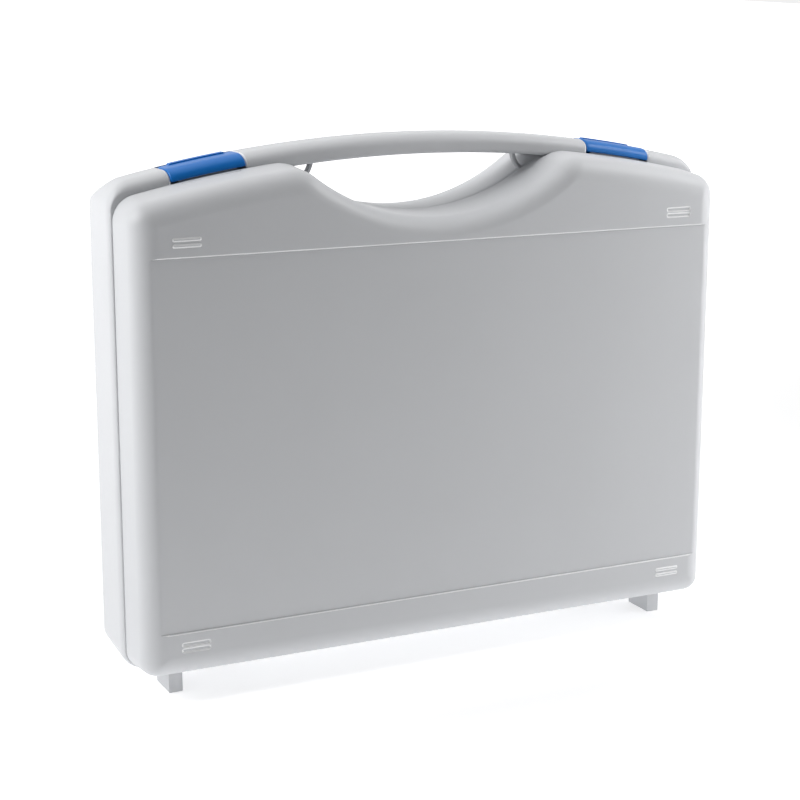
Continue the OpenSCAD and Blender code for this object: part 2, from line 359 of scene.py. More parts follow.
def bump(nt, b, chain):
    """chain is a list of (height, strength, distance in metres)."""
    last = None
    for h, strength, dist in chain:
        n = nt.nodes.new("ShaderNodeBump")
        n.inputs["Strength"].default_value = strength
        n.inputs["Distance"].default_value = dist
        nt.links.new(h, n.inputs["Height"])
        if last:
            nt.links.new(last, n.inputs["Normal"])
        last = n.outputs[0]
    nt.links.new(last, b.inputs["Normal"])


def plastic(name, col, rough, spread=0.012, grain=0.35, coat=0.0, spec=0.45):
    mat = bpy.data.materials.new(name)
    nt, b = nodes_of(mat)
    big = noise(nt, 14.0, 2.0)
    fine = noise(nt, 2600.0, 2.0, 0.6)
    mid = noise(nt, 420.0, 3.0, 0.55)
    lo = tuple(max(0.0, c * (1 - spread)) for c in col)
    hi = tuple(min(1.0, c * (1 + spread)) for c in col)
    c1 = mix_col(nt, remap(nt, big.outputs["Fac"], 0.3, 0.7, 0, 1), lo, hi)
    nt.links.new(c1, b.inputs["Base Color"])
    nt.links.new(remap(nt, mid.outputs["Fac"], 0.3, 0.7, rough - 0.035, rough + 0.035), b.inputs["Roughness"])
    b.inputs["IOR"].default_value = 1.49
    b.inputs["Specular IOR Level"].default_value = spec
    b.inputs["Coat Weight"].default_value = coat
    bump(nt, b, [(noise(nt, 9.0, 1.0).outputs["Fac"], 0.05, 0.002),
                 (mid.outputs["Fac"], 0.10 * grain, 0.0002), (fine.outputs["Fac"], 0.5 * grain, 0.00004)])
    return mat


def steel(name):
    mat = bpy.data.materials.new(name)
    nt, b = nodes_of(mat)
    n = noise(nt, 900.0, 3.0, 0.6, (1.0, 0.05, 0.05))
    nt.links.new(mix_col(nt, n.outputs["Fac"], (0.50, 0.51, 0.53), (0.70, 0.71, 0.72)), b.inputs["Base Color"])
    b.inputs["Metallic"].default_value = 1.0
    nt.links.new(remap(nt, n.outputs["Fac"], 0.2, 0.8, 0.22, 0.38), b.inputs["Roughness"])
    bump(nt, b, [(n.outputs["Fac"], 0.15, 0.00005)])
    return mat


def foam_mat(name, col):
    mat = bpy.data.materials.new(name)
    nt, b = nodes_of(mat)
    co = nt.nodes.new("ShaderNodeTexCoord")
    v = nt.nodes.new("ShaderNodeTexVoronoi")
    v.inputs["Scale"].default_value = 1500.0
    nt.links.new(co.outputs["Object"], v.inputs["Vector"])
    n = noise(nt, 700.0, 4.0, 0.65)
    big = noise(nt, 22.0, 2.0)
    pores = remap(nt, v.outputs["Distance"], 0.0, 0.5, 0.0, 1.0)
    base = mix_col(nt, pores, tuple(c * 0.35 for c in col), tuple(c * 1.25 for c in col))
    base = mix_col(nt, remap(nt, big.outputs["Fac"], 0.3, 0.7, 0, 0.35), base, tuple(c * 1.7 for c in col))
    nt.links.new(base, b.inputs["Base Color"])
    b.inputs["Roughness"].default_value = 0.95
    b.inputs["Specular IOR Level"].default_value = 0.2
    b.inputs["Sheen Weight"].default_value = 0.25
    b.inputs["Sheen Roughness"].default_value = 0.6
    bump(nt, b, [(n.outputs["Fac"], 0.6, 0.0004), (v.outputs["Distance"], 0.7, 0.0003)])
    return mat


SHELL = plastic("shell_plastic", (0.615, 0.625, 0.644), 0.44, spread=0.010, grain=0.35)
# painted highlight: a near-white colour, with a glossier finish, for the rounded edges of the marks, the panel's lip
# and the pockets' ends, standing in for the light they catch
PAINTED_HIGHLIGHT = plastic("shell_gloss_painted_highlight", (0.93, 0.935, 0.945), 0.25, spread=0.006, grain=0.15)
# painted shade: a darker grey for the strip just inside the panel's edge, standing in for the shade in the recess's
# corner
PAINTED_SHADE = plastic("shell_painted_shade", (0.43, 0.435, 0.45), 0.5, spread=0.01, grain=0.35)
BLUE = plastic("latch_plastic", (0.008, 0.165, 0.55), 0.34, spread=0.03, grain=0.25, coat=0.0, spec=0.3)
STEEL = steel("pin_steel")
FOAM = foam_mat("case_foam", (0.055, 0.057, 0.063))


# ---------------------------------------------------------------- front shell
def pill(cx, cz, length, r, n=10):
    h = length / 2
    return ([(cx + h + r * math.sin(math.pi * i / n), cz - r * math.cos(math.pi * i / n)) for i in range(n + 1)]
            + [(cx - h - r * math.sin(math.pi * i / n), cz + r * math.cos(math.pi * i / n)) for i in range(n + 1)])


RIB = [(1.10, 0.0), (0.92, 0.045), (0.80, 0.17), (0.70, 0.33), (0.54, 0.44), (0.30, 0.49), (0.1, 0.5)]
CUT = [(1.45, 0.0), (1.24, -0.05), (1.10, -0.17), (1.02, -0.32), (0.86, -0.45), (0.6, -0.5), (0.2, -0.5)]


def bars(cx, zs, table):
    """(loop points, height) for each bar."""
    return [(pill(cx, z, 14.0, r), h) for z in zs for r, h in table]


def face_cap(m, ring, y0, sgn, marks, panel):
    """The flat face inside ring: y0 is its plane and sgn the way out of it."""
    hs = {}
    loops = []
    for lp, h in marks:
        loops.append(lp)
        for x, z in lp:
            hs[(round(x, 3), round(z, 3))] = h
    pts = [(m.v[i][0], m.v[i][2]) for i in ring]
    lines = []
    if panel:
        for z in EDGE_ZS:
            ids = [i for i, p in enumerate(pts) if abs(p[1] - z) < 1e-4 and abs(p[0]) > 100]
            if len(ids) == 2:
                lines.append(ids)
    free = [(x, z) for x in range(-150, 151, 25) for z in range(60, 240, 25)]
    free += [(x, 36) for x in range(-125, 126, 25)] + [(s * x, 251) for s in (-1, 1) for x in (60, 85, 110, 135)]

    def y_of(x, z):
        h = hs.get((round(x, 3), round(z, 3)), 0.0)
        if panel:
            h -= panel_depth(z)
        return y0 + sgn * h
    m.cap(ring, y_of, loops, lines, free, flip=(sgn > 0))


def front_shell():
    m = Mesh()
    R, A0 = 13.8, math.radians(5)
    yc = Y_FRONT + R
    dc = 1.5
    rings = []                                    # from the front face back to the seam
    for a in (90, 87, 84, 80, 75, 70, 64, 58, 52, 46, 40, 34, 28, 22, 16, 10, 5):
        t = math.radians(a)
        rings.append((yc - R * math.sin(t), dc + R * (1 - math.cos(t))))
    d5 = rings[-1][1]
    y5 = rings[-1][0]
    for k in (0.75, 0.5, 0.25):
        rings.append((-10.7 + (y5 + 10.7) * k, d5 * k))
    rings += [(-10.75, 0.0), (-10.35, 0.0), (-10.18, 0.04), (-10.09, 0.14), (-10.05, 0.3),
              (-10.05, WALL - 0.35), (-10.15, WALL - 0.1), (-10.4, WALL)]
    ri = R - WALL
    rings += [(-18.0, WALL + 0.7)]
    for a in (2, 20, 38, 56, 74, 90):
        t = math.radians(a)
        rings.append((yc - ri * math.sin(t), dc + WALL + ri * (1 - math.cos(t))))
    ids = []
    for k, (y, d) in enumerate(rings):
        lp = loop(LID, d)
        outer = k < 8
        pts = []
        for x, z in lp:
            yy = y
            if outer and abs(x) > 100:
                yy = max(y, Y_FRONT + panel_depth(z))
            pts.append((x, stepped(x, yy, z), z))
        ids.append(m.ring(pts))
    for a, b in zip(ids, ids[1:]):
        m.bridge(a, b)
    X = 152.7
    marks = (bars(-X, (256.6, 253.3), RIB) + bars(X, (256.9, 253.55), CUT)
             + bars(-X, (35.3, 32.0), CUT) + bars(X, (35.3, 31.9), RIB))
    face_cap(m, ids[0], Y_FRONT, -1, marks, True)
    m.cap(ids[-1], lambda x, z: rings[-1][0], flip=True)
    o = tidy(m.obj("front_shell_skin"))
    print("front shell open edges", open_edges(o), len(o.data.polygons))
    add = []
    for s in (-1, 1):
        add.append(foot(s))
        # catch: a tongue behind the rim with a rib across its end
        prof = [(-14.0, -9.35), (-5.8, -9.35), (-5.8, -4.95), (-6.1, -4.9), (-7.5, -4.9), (-7.8, -5.2),
                (-7.8, -7.8), (-14.0, -7.8)]
        add.append(prism("catch", prof, -17, 17, 0.35, 3, band_place(s), only=lambda e: all(v.co.y > -13 for v in e.verts)))
    boolean(o, add, "UNION")
    boolean(o, [tube("bore", 1.55, s * 158 - 6, s * 158 + 6, HINGE_Y, HINGE_Z) for s in (-1, 1)], "DIFFERENCE")
    return o


def foot(s):
    """A front foot, the arm of a hinge: its rear end turns on a pin under the rear shell."""
    prof = [(-19.5, 17.0), (-19.5, 0.0), (2.4, 0.0)]
    prof += [(HINGE_Y + 3.9 * math.cos(math.radians(a)), HINGE_Z + 3.9 * math.sin(math.radians(a)))
             for a in range(0, 131, 10)]
    prof += [(-7.0, 11.1), (-9.4, 11.1), (-10.25, 11.9), (-10.25, 16.4)]
    return prism("foot", prof, s * 158 - 4, s * 158 + 4, 0.55, 3,
                 only=lambda e: all(v.co.z < 16.0 for v in e.verts))


# ---------------------------------------------------------------- rear shell
def crown(y):
    """How far the handle's top has dropped at depth y."""
    t = min(y - BAND_Y0, BAND_Y1 - y)
    if t >= 9:
        return 0.0
    return 6.0 * (1 - math.sqrt(max(0.0, 1 - ((9 - t) / 9.0) ** 2)))


def band_section(k):
    """(drop, y) round the handle's section; at k = 0 it has turned into the rear shell's own side."""
    def mid(a, b):
        return a + (b - a) * k
    w = 4.0 * k * (1.0 - k)                        # softer still where the two meet
    y1, T, g = mid(Y_BACK - 0.06, BAND_Y1) - 3.0 * w, mid(BAND_T + 4.0, BAND_T) + 2.0 * w, 1.9
    front, rear, low_f, low_r = [], [], [], []
    for a in range(0, 91, 9):
        t = math.radians(a)
        front.append((mid(1.7, 6.0) * (1 - math.cos(t)), BAND_Y0 + mid(5.5, 9.0) * (1 - math.sin(t))))
        rear.append(((mid(11.0, 6.0) + 3.6 * w) * (1 - math.cos(t)), y1 - (mid(11.0, 9.0) + 3.0 * w) * (1 - math.sin(t))))
    rear = rear[::-1]
    low = [math.radians(a) for a in range(0, 91, 15)]
    low_f = [(T - g * (1 - math.sin(t)), BAND_Y0 + g * (1 - math.cos(t))) for t in low]
    low_r = [(T - g * (1 - math.cos(t)), y1 - g * (1 - math.sin(t))) for t in low]
    top = [(d + mid(1.97, 0.0) * min(1.0, max(0.0, (y + 4.4) / 34.4)), y) for d, y in rear + front]
    return top + low_f + low_r


def band():
    t, tx = 16.0, 184.85 - 16.0
    tz = BAND_C + math.sqrt((BAND_R - t) ** 2 - tx * tx)
    at = math.atan2(tz - BAND_C, tx)
    path = [(tx + t - 0.3, tz - 9.0, 0.0, 0.0), (tx + t, tz - 5.0, 0.0, 0.0), (tx + t, tz - 2.0, 0.0, 0.0)]
    path += [(tx + t * math.cos(at * i / 26), tz + t * math.sin(at * i / 26), at * i / 26,
              ramp(0.06, 1.12, i / 26.0)) for i in range(27)]
    n = 56
    path += [(BAND_R * math.cos(at + (math.pi / 2 - at) * i / n), BAND_C + BAND_R * math.sin(at + (math.pi / 2 - at) * i / n),
              at + (math.pi / 2 - at) * i / n, ramp(0.06, 1.12, 1.0 + i * 0.13)) for i in range(1, n + 1)]
    path += [(-x, z, math.pi - a, k) for x, z, a, k in path[-2::-1]]
    m = Mesh()
    rings = [m.ring([(x - d * math.cos(a), y, z - d * math.sin(a)) for d, y in band_section(k)]) for x, z, a, k in path]
    for a, b in zip(rings, rings[1:]):
        m.bridge(a, b)
    m.fan(rings[0], True)
    m.fan(rings[-1])
    return tidy(m.obj("band"))


def eye_bar(s):
    """The bar that closes a strap eye in the sharp end of the hand opening."""
    path = [(63.9, 291.5), (64.1, 290.0), (64.4, 288.5), (64.9, 287.0), (65.6, 285.5), (66.5, 284.0), (67.5, 282.6), (68.7, 281.2)]
    m = Mesh()
    rings = []
    for k, (x, z) in enumerate(path):
        a, b = path[max(0, k - 1)], path[min(len(path) - 1, k + 1)]
        tx, tz = b[0] - a[0], b[1] - a[1]
        L = math.hypot(tx, tz)
        nx, nz = -tz / L, tx / L
        pts = []
        for i in range(28):
            q = 2 * math.pi * i / 28
            c, sn = math.cos(q), math.sin(q)
            e = 0.55
            u = 1.2 * math.copysign(abs(c) ** e, c)
            v = 2.2 * math.copysign(abs(sn) ** e, sn)
            pts.append((s * (x + nx * u), 3.0 + v, z + nz * u))
        rings.append(m.ring(pts))
    for a, b in zip(rings, rings[1:]):
        m.bridge(a, b)
    m.fan(rings[0], True)
    m.fan(rings[-1])
    return tidy(m.obj("eye"))


def pocket(s):
    """A latch pocket, with its ends' top edges rounded."""
    W = LATCH_H + 0.28
    box = prism("pocket", [(-14, -9.7), (12.6, -9.7), (13.2, -9.1), (13.2, 6), (-14, 6)], -W, W, 0, 3, band_place(s))
    m = Mesh()
    rho = 1.1
    us = [-W - rho, -W - rho * 0.62, -W - rho * 0.3, -W - rho * 0.08, -W, -W + 1,
          W - 1, W, W + rho * 0.08, W + rho * 0.3, W + rho * 0.62, W + rho]
    rings = []
    for u in us:
        e = max(0.0, W + rho - abs(u)) if abs(u) > W else rho
        g = 0.5 * (e / rho) ** 1.6 + 0.004
        low = [(BAND_Y0 + g, -14.0)]
        for a in range(90, -1, -9):
            t = math.radians(a)
            c, sn = 9.0 * math.cos(t), 6.0 * math.sin(t)
            N = math.hypot(c, sn)
            low.append((BAND_Y0 + 9.0 - 9.0 * math.sin(t) + g * sn / N, -6.0 + 6.0 * math.cos(t) - g * c / N))
        low += [(5.0, -g), (13.2, -g - crown(13.2)), (13.2, 6.0), (BAND_Y0 - 3.0, 6.0), (BAND_Y0 - 3.0, -14.0)]
        rings.append(m.ring([(u, y, v - u * u / 1580.0) for y, v in low]))
    for a, b in zip(rings, rings[1:]):
        m.bridge(a, b)
    m.fan(rings[0], True)
    m.fan(rings[-1])
    flare = tidy(m.obj("flare"))
    flare.data.transform(band_place(s))
    return [box, flare]


def rear_shell():
    m = Mesh()
    R = 11.0
    yc = Y_BACK - R
    ri = R - WALL
    path = []                                      # (y, outline, inset, draft in it), inside first
    for a in (90, 70, 50, 30, 12, 0):
        t = math.radians(a)
        path.append((yc + ri * math.sin(t), TUB, 2.0 + WALL + ri * (1 - math.cos(t)), 2.0))
    path += [(10.0, TUB, 2.6 + 1.1, 0.92), (-4.0, LID, 4.25), (-5.5, LID, 4.2), (-11.95, LID, 4.2), (-12.2, LID, 4.05), (-12.3, LID, 3.8),
             (-12.3, LID, 3.4), (-12.2, LID, 3.15), (-11.95, LID, 3.0), (-9.97, LID, 3.0),
             (-9.97, TUB, 2.6), (-9.97, TUB, 1.7), (-9.84, TUB, 1.4), (-9.4, TUB, 1.02), (-8.6, TUB, 0.6),
             (-7.5, TUB, 0.28), (-6.1, TUB, 0.08), (-4.4, TUB, 0.0)]
    A0 = 3
    dc = 1.97
    d3 = dc + R * (1 - math.cos(math.radians(A0)))
    y3 = yc + R * math.sin(math.radians(A0))
    for k in (0.25, 0.5, 0.75):
        path.append((-4.4 + (y3 + 4.4) * k, TUB, d3 * k, dc * k))
    for a in (3, 10, 16, 22, 28, 34, 40, 46, 52, 58, 64, 70, 75, 80, 84, 87, 90):
        t = math.radians(a)
        path.append((yc + R * math.sin(t), TUB, dc + R * (1 - math.cos(t)), dc))
    ids = [m.ring([(x, stepped(x, q[0], z), z) for x, z in loop(*q[1:])]) for q in path]
    for a, b in zip(ids, ids[1:]):
        m.bridge(a, b)
    m.cap(ids[0], lambda x, z: path[0][0], flip=False)
    X = 152.7
    marks = (bars(X, (256.6, 253.3), RIB) + bars(-X, (256.9, 253.55), CUT)
             + bars(X, (35.3, 32.0), CUT) + bars(-X, (35.3, 31.9), RIB))
    face_cap(m, ids[-1], Y_BACK, 1, marks, False)
    o = tidy(m.obj("rear_shell_skin"))
    print("rear shell open edges", open_edges(o), len(o.data.polygons))
    b = band()
    print("band open edges", open_edges(b))
    add = [b] + [eye_bar(s) for s in (-1, 1)]
    for s in (-1, 1):
        prof = [(HINGE_Y + 3.6 * math.cos(math.radians(a)), HINGE_Z + 3.6 * math.sin(math.radians(a)))
                for a in range(180, 361, 12)]
        prof += [(HINGE_Y + 3.9, 14.6), (HINGE_Y - 3.9, 14.6)]
        add.append(prism("lug", prof, s * 150.3 - 3.3, s * 150.3 + 3.3, 0.4, 2,
                         only=lambda e: all(v.co.z < 14.4 for v in e.verts)))
        add.append(prism("rear_foot", [(14, 0), (34, 0), (34, 15.4), (14, 15.4)], s * 122 - 4, s * 122 + 4, 0.55, 3,
                         only=lambda e: any(v.co.z < 1.0 for v in e.verts)))
    boolean(o, add, "UNION")
    cut = []
    for s in (-1, 1):
        cut += pocket(s)
        cut.append(tube("bore", 1.5, -26, 26, PIV_Y, PIV_V, place=band_place(s)))
        cut.append(tube("bore", 1.5, s * 150.3 - 6, s * 150.3 + 6, HINGE_Y, HINGE_Z))
    boolean(o, cut, "DIFFERENCE")
    return o


# ---------------------------------------------------------------- latches and pins
def latch(s, name):
    """Outer form as a loft along the band, hollowed from below, with a thumb ridge."""
    m = Mesh()
    yf = Y_SEAM - 0.4

    def prof(i):
        """Closed outline in (y, v), i inside the full size."""
        p = []
        a9, a6 = 9.0 - i * 0.4, 6.0 - i * 0.4
        p += [(yf + i, -6.5 + 0.4), (yf + i, -5.6)]
        for a in range(90, -1, -9):
            t = math.radians(a)
            p.append((yf + i + a9 * (1 - math.sin(t)), 0.3 - i - a6 * (1 - math.cos(t))))
        p += [(3.0, 0.3 - i)]
        r = 4.4 - i
        for a in range(90, -91, -12):
            t = math.radians(a)
            p.append((PIV_Y + r * math.cos(t), PIV_V + r * math.sin(t)))
        p += [(1.0, PIV_V - 4.4 + i), (-5.0, -7.2 + i), (yf + 0.8 + i, -6.5 + i), (yf + 0.25 + i, -6.5 + 0.12 + i * 0.9)]
        return p
    ends = [(0.0, 0.62), (0.08, 0.40), (0.22, 0.2), (0.42, 0.06), (0.68, 0.0)]
    us = [(-LATCH_H + e, i) for e, i in ends] + [(u, 0.0) for u in (-14, -7, 0, 7, 14)] + [(LATCH_H - e, i) for e, i in ends[::-1]]
    rings = [m.ring([(u, y, v - u * u / 1580.0) for y, v in prof(i)]) for u, i in us]
    for a, b in zip(rings, rings[1:]):
        m.bridge(a, b)
    m.fan(rings[0], True)
    m.fan(rings[-1])
    o = tidy(m.obj(name))
    t = 2.2
    hol = [(yf + t, -12.0), (yf + t, -7.2)]
    hol += [(yf + t + 6.8 * (1 - math.sin(math.radians(a))), 0.3 - t - 3.6 * (1 - math.cos(math.radians(a))))
            for a in range(90, -1, -10)]
    hol += [(2.2, -1.9), (2.7, -3.2), (2.55, -4.6), (3.1, -6.2), (4.2, -7.5), (5.4, -8.3), (6.5, -8.55), (6.5, -12.0)]
    boolean(o, [prism("hollow", hol, -30, 30)], "DIFFERENCE")
    # thumb ridge, rounded all round
    r = Mesh()
    rr = []
    for u, k in ((-16.2, 0.25), (-16.05, 0.62), (-15.75, 0.88), (-15.3, 1.0), (-7, 1.0), (0, 1.0), (7, 1.0), (15.3, 1.0),
                 (15.75, 0.88), (16.05, 0.62), (16.2, 0.25)):
        w, h = 2.22 * (0.86 + 0.14 * k), 0.8 * k
        z0 = 0.3 - u * u / 1580.0
        pts = [(u, 7.56 + w * 1.01, z0 - 2.6), (u, 7.56 + w * 1.005, z0 - 0.05)]
        for a in range(0, 181, 10):
            q = math.radians(a)
            c, sn = math.cos(q), max(0.0, math.sin(q))
            pts.append((u, 7.56 + w * math.copysign(abs(c) ** 0.2, c), z0 + h * sn ** 0.45))
        pts += [(u, 7.56 - w * 1.005, z0 - 0.05), (u, 7.56 - w * 1.01, z0 - 2.6)]
        rr.append(r.ring(pts))
    for a, b in zip(rr, rr[1:]):
        r.bridge(a, b)
    r.fan(rr[0], True)
    r.fan(rr[-1])
    ridge = tidy(r.obj("ridge"))
    boolean(o, [ridge], "UNION")
    boolean(o, [tube("bore", 1.55, -26, 26, PIV_Y, PIV_V)], "DIFFERENCE")
    o.data.transform(band_place(s))
    return o


# ---------------------------------------------------------------- foam
def rounded_rect(x0, z0, w, h, r, n=8):
    p = []
    for cx, cz, a in ((x0 + w - r, z0 + r, -90), (x0 + w - r, z0 + h - r, 0), (x0 + r, z0 + h - r, 90), (x0 + r, z0 + r, 180)):
        p += [(cx + r * math.cos(math.radians(a + 90 * i / n)), cz + r * math.sin(math.radians(a + 90 * i / n)))
              for i in range(n + 1)]
    return p


def inside(p, poly, margin=0.0):
    x, z = p
    c = False
    n = len(poly)
    for i in range(n):
        x1, z1 = poly[i]
        x2, z2 = poly[(i + 1) % n]
        if (z1 > z) != (z2 > z) and x < (x2 - x1) * (z - z1) / (z2 - z1) + x1:
            c = not c
    if c and margin:
        a = np.array(poly)
        if np.min(np.hypot(a[:, 0] - x, a[:, 1] - z)) < margin:
            return False
    return c


def foam_block(name, o, path, front_free=(), front_y=None):
    """A block through (y, inset) rings of the outline o; front_y(x, z) shapes its last face."""
    m = Mesh()
    ids = [m.ring([(x, y, z) for x, z in loop(o, d)]) for y, d in path]
    for a, b in zip(ids, ids[1:]):
        m.bridge(a, b)
    m.cap(ids[0], lambda x, z: path[0][0], free=[(x, z) for x in range(-140, 141, 20) for z in range(50, 230, 20)])
    last = path[-1][0]
    m.cap(ids[-1], front_y or (lambda x, z: last), free=front_free, flip=True)
    return tidy(m.obj(name))


def well(name, x0, z0, w, h, r, y_mouth=-11.9, y_floor=18.1):
    m = Mesh()
    rings = []
    for y, g in ((y_mouth - 2.0, 1.6), (y_mouth - 0.01, 1.5), (y_mouth + 0.25, 0.85), (y_mouth + 0.75, 0.35),
                 (y_mouth + 1.5, 0.06), (y_mouth + 2.2, 0.0), (0.0, 0.0), (y_floor - 1.4, 0.0), (y_floor - 0.5, -0.4), (y_floor, -1.3)):
        rings.append(m.ring([(x, y, z) for x, z in rounded_rect(x0 - g, z0 - g, w + 2 * g, h + 2 * g, max(0.5, r + g))]))
    for a, b in zip(rings, rings[1:]):
        m.bridge(a, b)
    m.fan(rings[0], True)
    m.fan(rings[-1])
    return tidy(m.obj(name))


def foam_insert():
    yf = -11.9
    path = [(24.1, 7.4), (23.6, 6.6), (22.8, 6.2), (10.0, 6.35), (-2.0, 6.3), (yf + 1.6, 6.2), (yf + 0.8, 6.35), (yf + 0.25, 6.75), (yf, 7.5)]
    fr = [(x, z) for x in range(-156, 157, 12) for z in range(30, 250, 12)]
    poly = loop(SOFT, 7.5)
    fr = [p for p in fr if inside(p, poly, 4.0)]
    # the skived face is never quite flat

    def face(x, z):
        return yf + 0.25 + 0.2 * math.sin(x * 0.043 + 1.3) * math.cos(z * 0.057 + 0.4)
    o = foam_block("foam_insert_cut", SOFT, path[::-1][::-1], fr, face)
    tools = [well("w", -160, 192, 172, 42, 20), well("w", -12, 176, 62, 70, 18), well("w", 72, 160, 92, 84, 12),
             well("w", -160, 100, 106, 62, 10), well("w", 72, 96, 92, 46, 10),
             well("w", -160, 36, 200, 46, 12), well("w", 58, 36, 106, 46, 12)]
    tools += [well("w", -34 + i * 32, 96, 24, 66, 11.5) for i in range(3)]
    boolean(o, tools, "DIFFERENCE")
    return o


def foam_base_pad():
    path = [(38.1, 15.0), (37.6, 14.0), (36.0, 11.0), (33.0, 7.6), (30.5, 6.5), (27.0, 6.2), (25.0, 6.4), (24.4, 7.4)]
    return foam_block("foam_base_sheet", SOFT, path)


def foam_lid_pad():
    yb, yr = -38.1, -12.65
    path = [(yb, 18.5), (yb + 0.6, 17.4), (-36.5, 13.5), (-34.0, 9.4), (-31.0, 8.2), (-24.0, 7.6), (-17.0, 7.2), (-15.5, 7.4), (-14.8, 8.2), (-14.6, 9.4)]
    poly = loop(SOFT, 9.4)
    a = np.array(poly)
    free, p = [], 4.0
    i = 0
    for zi in range(5, 72):
        for xi in range(-44, 45):
            q = (xi * p + (p / 2 if zi % 2 else 0), zi * p)
            if abs(q[0]) < 176 and inside(q, poly, 2.2):
                free.append(q)

    def face(x, z):
        e = float(np.min(np.hypot(a[:, 0] - x, a[:, 1] - z)))
        fade = min(1.0, e / 10.0)
        fade = fade * fade * (3 - 2 * fade)
        w = math.cos(2 * math.pi * x / 26.0) * math.cos(2 * math.pi * (z - 140) / 26.0)
        return -14.6 - 1.9 * fade + 3.7 * fade * w
    # seen from behind, so the shaped face comes last
    m = Mesh()
    ids = [m.ring([(x, y, z) for x, z in loop(SOFT, d)]) for y, d in path]
    for r1, r2 in zip(ids, ids[1:]):
        m.bridge(r1, r2)
    m.cap(ids[0], lambda x, z: yb, free=[(x, z) for x in range(-120, 121, 30) for z in range(60, 220, 30)])
    m.cap(ids[-1], face, free=free, flip=True)
    return tidy(m.obj("foam_lid_waves"))


# ---------------------------------------------------------------- the object
def paint_light_slots(o):
    """Give the edges of the marks, the panel and the pockets slots of their own: slot 1 is glossier, with a near-white
    colour that is a painted highlight, and slot 2 is painted shade just inside the panel's edge.
    """
    inv = [band_place(s).inverted() for s in (-1, 1)]
    for f in o.data.polygons:
        c, n = f.center / MM, f.normal
        f.material_index = 0
        side = min(abs(c.y - Y_FRONT), abs(c.y - Y_BACK))
        # the rims of the marks get the painted highlight
        if side < 1.0 and abs(abs(c.x) - 152.7) < 9.6 and (abs(c.z - 254.9) < 5 or abs(c.z - 33.6) < 5):
            if abs(n.y) < 0.985:
                f.material_index = 1
        # the panel's outer lip gets the painted highlight, the strip just inside it painted shade
        elif abs(c.y - Y_FRONT) < 1.0 and abs(n.z) > 0.02:
            e = max(c.z - PANEL_Z1, PANEL_Z0 - c.z)
            if -0.02 < e < 0.56:
                f.material_index = 1
            elif -0.6 < e < -0.2:
                f.material_index = 2
        # the pockets' rounded end edges get the painted highlight
        if c.z > 270 and BAND_Y0 - 0.2 < c.y < 13.3:
            for q in inv:
                u = q @ f.center / MM
                if LATCH_H + 0.26 < abs(u.x) < LATCH_H + 1.42 and 0.02 < abs((q.to_3x3() @ n).x) < 0.995 and u.z > -9.6:
                    f.material_index = 1


def put(o, body, slot, mat, *nodes, angle=32.0, painted_light=()):
    o.data.materials.clear()
    for x in (mat,) + tuple(painted_light):
        o.data.materials.append(x)
    if painted_light:
        paint_light_slots(o)
    else:
        for f in o.data.polygons:
            f.material_index = 0
    finish_mesh(o, angle)
    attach(o, body)
    if nodes:
        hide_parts(*nodes)
    print(o.name, len(o.data.polygons), "faces", open_edges(o), "open")
    return o


# the shells' edges take the painted highlight and painted shade materials
put(front_shell(), "lid", "shell", SHELL, "front_shell", painted_light=(PAINTED_HIGHLIGHT, PAINTED_SHADE))
put(rear_shell(), "base", "shell", SHELL, "rear_shell", painted_light=(PAINTED_HIGHLIGHT, PAINTED_SHADE))
for s, side in ((-1, "left"), (1, "right")):
    put(latch(s, f"latch_{side}_clip"), f"latch_{side}", "latch", BLUE, f"latch_{side}", angle=38)
    put(tube(f"latch_{side}_dowel", 1.5, -24.5, 24.5, PIV_Y, PIV_V, 48, 0.35, band_place(s)), "base", "steel", STEEL,
        f"latch_pin_{side}")
    put(tube(f"hinge_{side}_dowel", 1.5, s * 154.2 - 7.3, s * 154.2 + 7.3, HINGE_Y, HINGE_Z, 48, 0.35), "base", "steel", STEEL,
        f"hinge_pin_{side}")
put(foam_insert(), "base", "foam", FOAM, "foam_insert", angle=40)
put(foam_base_pad(), "base", "foam", FOAM, "foam_base_pad", angle=50)
put(foam_lid_pad(), "lid", "foam", FOAM, "foam_lid_pad", angle=60)


# ---------------------------------------------------------------- stage
GLOW = (0.175, 0.29, 0.50, 0.42)                   # of the sweep, of its part under the case (painted light there, washing out the case's shadow), of its far parts


